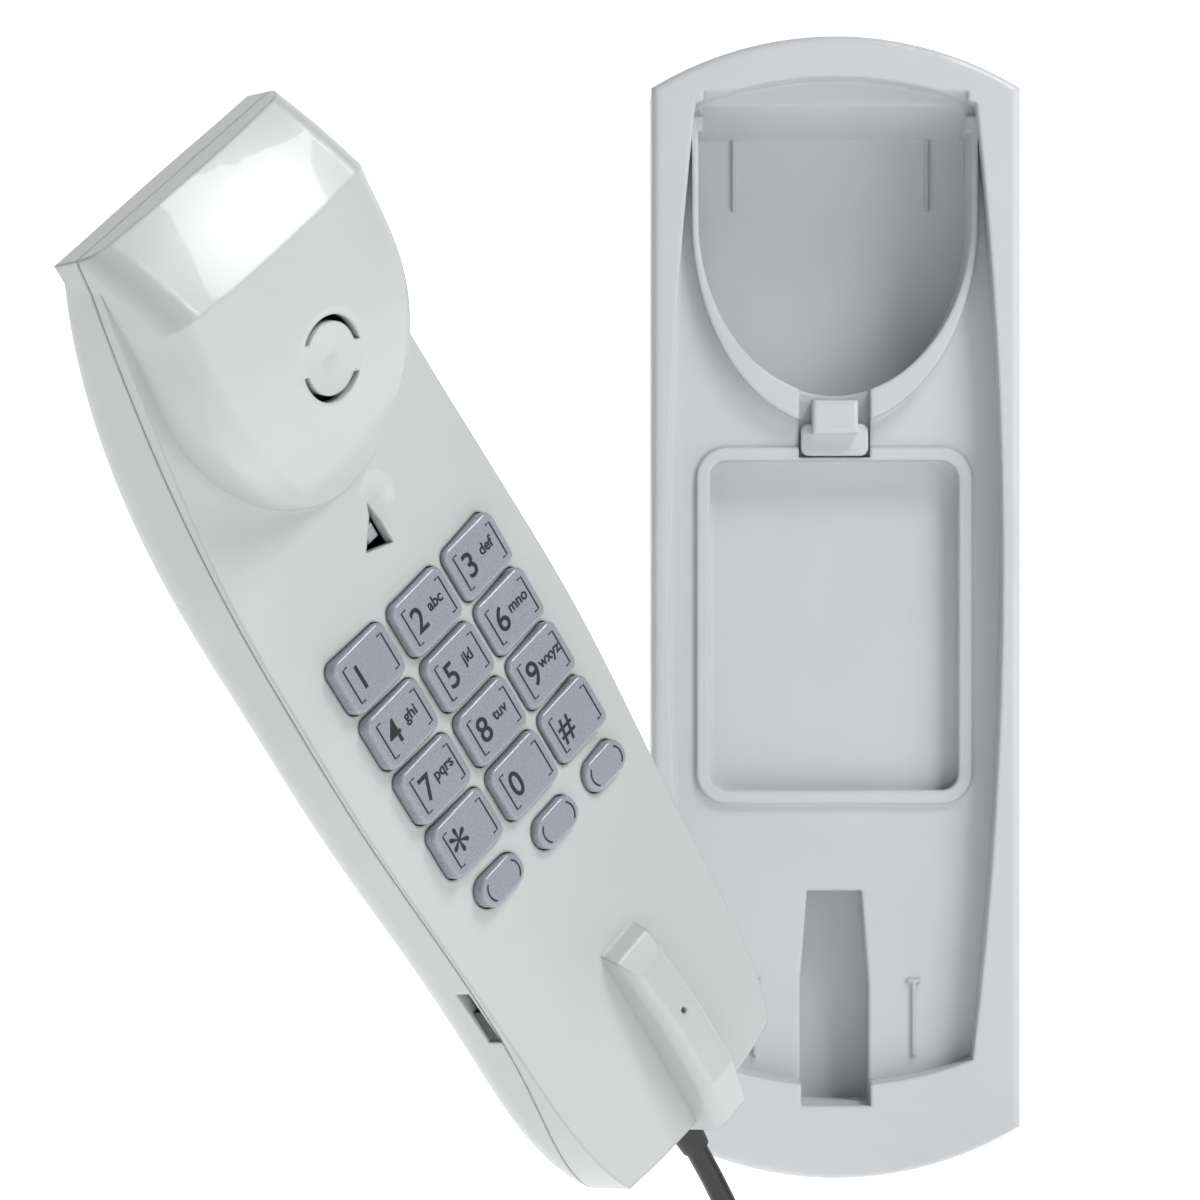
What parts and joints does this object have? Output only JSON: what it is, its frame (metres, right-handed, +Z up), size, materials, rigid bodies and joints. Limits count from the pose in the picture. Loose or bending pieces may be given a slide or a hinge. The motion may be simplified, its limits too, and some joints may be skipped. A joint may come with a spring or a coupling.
{
  "type": "slimline wall phone",
  "caption": "Slimline corded wall phone: a long cradle with a bowl for the ear end, and a handset that holds the keypad.",
  "frame": {"origin": "centre of the cradle's back face, on the wall", "axes": "+Z up along the cradle, +Y into the wall, -Y out to the front, +X to the right seen from the front"},
  "size_m": [0.2187, 0.2033, 0.27],
  "materials": {
    "cradle_plastic": "satin moulded",
    "handset_plastic": "satin moulded",
    "screw_steel": "zinc plated",
    "grey_rubber": "matte",
    "black_rubber": "matte",
    "board_laminate": "solder mask",
    "capsule_metal": "satin",
    "buzzer_brass": "satin",
    "black_plastic": "matte",
    "grey_plastic": "satin",
    "cord_black": "satin",
    "plug_clear": "clear moulded",
    "key_plastic": "satin"
  },
  "bodies": {
    "cradle": {"cradle_shell": "cradle_plastic", "cradle_back_plate": "cradle_plastic", "cradle_screws": "screw_steel"},
    "hook_tab": {"hook_tab": "cradle_plastic"},
    "handset": {"front_shell": "handset_plastic", "rear_shell": "handset_plastic", "keypad_membrane": "grey_rubber", "main_circuit_board": "board_laminate", "receiver_capsule": "capsule_metal", "receiver_gasket": "black_rubber", "microphone_capsule": "capsule_metal", "microphone_boot": "black_rubber", "hook_switch_body": "black_plastic", "ringer_switch_body": "black_plastic", "ringer_buzzer": "buzzer_brass", "handset_screws": "screw_steel", "strain_relief": "black_rubber", "line_cord": "cord_black", "cord_coil": "cord_black", "line_cord_tail": "cord_black", "modular_plug": "plug_clear", "plug_latch": "plug_clear"},
    "hook_plunger": {"hook_switch_plunger": "grey_plastic"},
    "ringer_knob": {"ringer_switch_knob": "black_plastic"},
    "key_1": {"key_1": "key_plastic"},
    "key_2": {"key_2": "key_plastic"},
    "key_3": {"key_3": "key_plastic"},
    "key_4": {"key_4": "key_plastic"},
    "key_5": {"key_5": "key_plastic"},
    "key_6": {"key_6": "key_plastic"},
    "key_7": {"key_7": "key_plastic"},
    "key_8": {"key_8": "key_plastic"},
    "key_9": {"key_9": "key_plastic"},
    "key_star": {"key_star": "key_plastic"},
    "key_0": {"key_0": "key_plastic"},
    "key_pound": {"key_pound": "key_plastic"},
    "key_flash": {"key_flash": "key_plastic"},
    "key_mute": {"key_mute": "key_plastic"},
    "key_redial": {"key_redial": "key_plastic"}
  },
  "joints": [
    {"name": "handset_slide", "type": "slide", "parent": "cradle", "child": "handset", "axis": [0, -1, 0], "range_m": [0, 0.1]},
    {"name": "hook_tab_slide", "type": "slide", "parent": "cradle", "child": "hook_tab", "axis": [0, 0, 1], "range_m": [0, 0.004]},
    {"name": "hook_switch_press", "type": "slide", "parent": "handset", "child": "hook_plunger", "axis": [-0.6949, 0.7154, -0.072], "range_m": [0, 0.002], "stiffness_N_per_m": 200},
    {"name": "ringer_switch_slide", "type": "slide", "parent": "handset", "child": "ringer_knob", "axis": [-0.4634, -0.369, 0.8057], "range_m": [0, 0.004]},
    {"name": "key_1_press", "type": "slide", "parent": "handset", "child": "key_1", "axis": [-0.6949, 0.7154, -0.072], "range_m": [0, 0.0012], "stiffness_N_per_m": 300},
    {"name": "key_2_press", "type": "slide", "parent": "handset", "child": "key_2", "axis": [-0.6949, 0.7154, -0.072], "range_m": [0, 0.0012], "stiffness_N_per_m": 300},
    {"name": "key_3_press", "type": "slide", "parent": "handset", "child": "key_3", "axis": [-0.6949, 0.7154, -0.072], "range_m": [0, 0.0012], "stiffness_N_per_m": 300},
    {"name": "key_4_press", "type": "slide", "parent": "handset", "child": "key_4", "axis": [-0.6949, 0.7154, -0.072], "range_m": [0, 0.0012], "stiffness_N_per_m": 300},
    {"name": "key_5_press", "type": "slide", "parent": "handset", "child": "key_5", "axis": [-0.6949, 0.7154, -0.072], "range_m": [0, 0.0012], "stiffness_N_per_m": 300},
    {"name": "key_6_press", "type": "slide", "parent": "handset", "child": "key_6", "axis": [-0.6949, 0.7154, -0.072], "range_m": [0, 0.0012], "stiffness_N_per_m": 300},
    {"name": "key_7_press", "type": "slide", "parent": "handset", "child": "key_7", "axis": [-0.6949, 0.7154, -0.072], "range_m": [0, 0.0012], "stiffness_N_per_m": 300},
    {"name": "key_8_press", "type": "slide", "parent": "handset", "child": "key_8", "axis": [-0.6949, 0.7154, -0.072], "range_m": [0, 0.0012], "stiffness_N_per_m": 300},
    {"name": "key_9_press", "type": "slide", "parent": "handset", "child": "key_9", "axis": [-0.6949, 0.7154, -0.072], "range_m": [0, 0.0012], "stiffness_N_per_m": 300},
    {"name": "key_star_press", "type": "slide", "parent": "handset", "child": "key_star", "axis": [-0.6949, 0.7154, -0.072], "range_m": [0, 0.0012], "stiffness_N_per_m": 300},
    {"name": "key_0_press", "type": "slide", "parent": "handset", "child": "key_0", "axis": [-0.6949, 0.7154, -0.072], "range_m": [0, 0.0012], "stiffness_N_per_m": 300},
    {"name": "key_pound_press", "type": "slide", "parent": "handset", "child": "key_pound", "axis": [-0.6949, 0.7154, -0.072], "range_m": [0, 0.0012], "stiffness_N_per_m": 300},
    {"name": "key_flash_press", "type": "slide", "parent": "handset", "child": "key_flash", "axis": [-0.6949, 0.7154, -0.072], "range_m": [0, 0.0012], "stiffness_N_per_m": 300},
    {"name": "key_mute_press", "type": "slide", "parent": "handset", "child": "key_mute", "axis": [-0.6949, 0.7154, -0.072], "range_m": [0, 0.0012], "stiffness_N_per_m": 300},
    {"name": "key_redial_press", "type": "slide", "parent": "handset", "child": "key_redial", "axis": [-0.6949, 0.7154, -0.072], "range_m": [0, 0.0012], "stiffness_N_per_m": 300}
  ]
}
